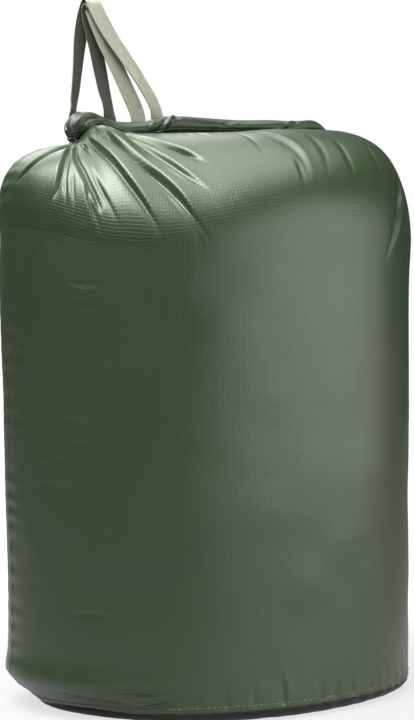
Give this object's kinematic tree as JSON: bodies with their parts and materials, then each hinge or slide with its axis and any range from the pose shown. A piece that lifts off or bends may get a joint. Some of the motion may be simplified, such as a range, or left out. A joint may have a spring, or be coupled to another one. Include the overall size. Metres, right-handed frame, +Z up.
{
  "type": "stuff sack",
  "caption": "Packed stuff sack in coated ripstop nylon: oval base, bound side seams, rolled and twisted collar, nested webbing carry loops behind it.",
  "frame": {"origin": "middle of the flat oval base, on the surface that the sack stands on", "axes": "+X along the rolled collar towards its thin tail, the front panel faces -Y, +Z up"},
  "size_m": [0.2772, 0.1978, 0.4483],
  "materials": {
    "body_ripstop": "coated ripstop nylon, semi-gloss forest green",
    "base_ripstop": "coated ripstop nylon, dark green",
    "collar_ripstop": "coated ripstop nylon, rolled, dark green",
    "seam_binding": "folded binding of the same nylon",
    "sewing_thread": "polyester thread",
    "stiffener_tape": "woven stiffening tape",
    "webbing": "flat woven webbing, olive grey",
    "stuffing": "soft packed clothing or sleeping bag"
  },
  "bodies": {
    "sack": {"front_panel": "body_ripstop", "back_panel": "body_ripstop", "base_panel": "base_ripstop", "packed_load": "stuffing", "left_side_seam": "seam_binding", "right_side_seam": "seam_binding", "base_stitching": "sewing_thread", "back_collar": "collar_ripstop", "front_collar": "collar_ripstop", "hem_tape": "stiffener_tape", "outer_loop_ends": "webbing", "inner_loop_ends": "webbing", "bar_tacks": "sewing_thread"},
    "outer_strap": {"outer_loop": "webbing"},
    "inner_strap": {"inner_loop": "webbing"}
  },
  "joints": [
    {"name": "outer_loop_swing", "type": "hinge", "parent": "sack", "child": "outer_strap", "pos_m": [0, 0.008, 0.378], "axis": [-1, 0, 0], "range_deg": [-45, 105]},
    {"name": "inner_loop_swing", "type": "hinge", "parent": "sack", "child": "inner_strap", "pos_m": [0, 0.008, 0.378], "axis": [-1, 0, 0], "range_deg": [-45, 105]}
  ],
  "couplings": [
    {"joint": "inner_loop_swing", "follows": "outer_loop_swing", "ratio": 1}
  ]
}
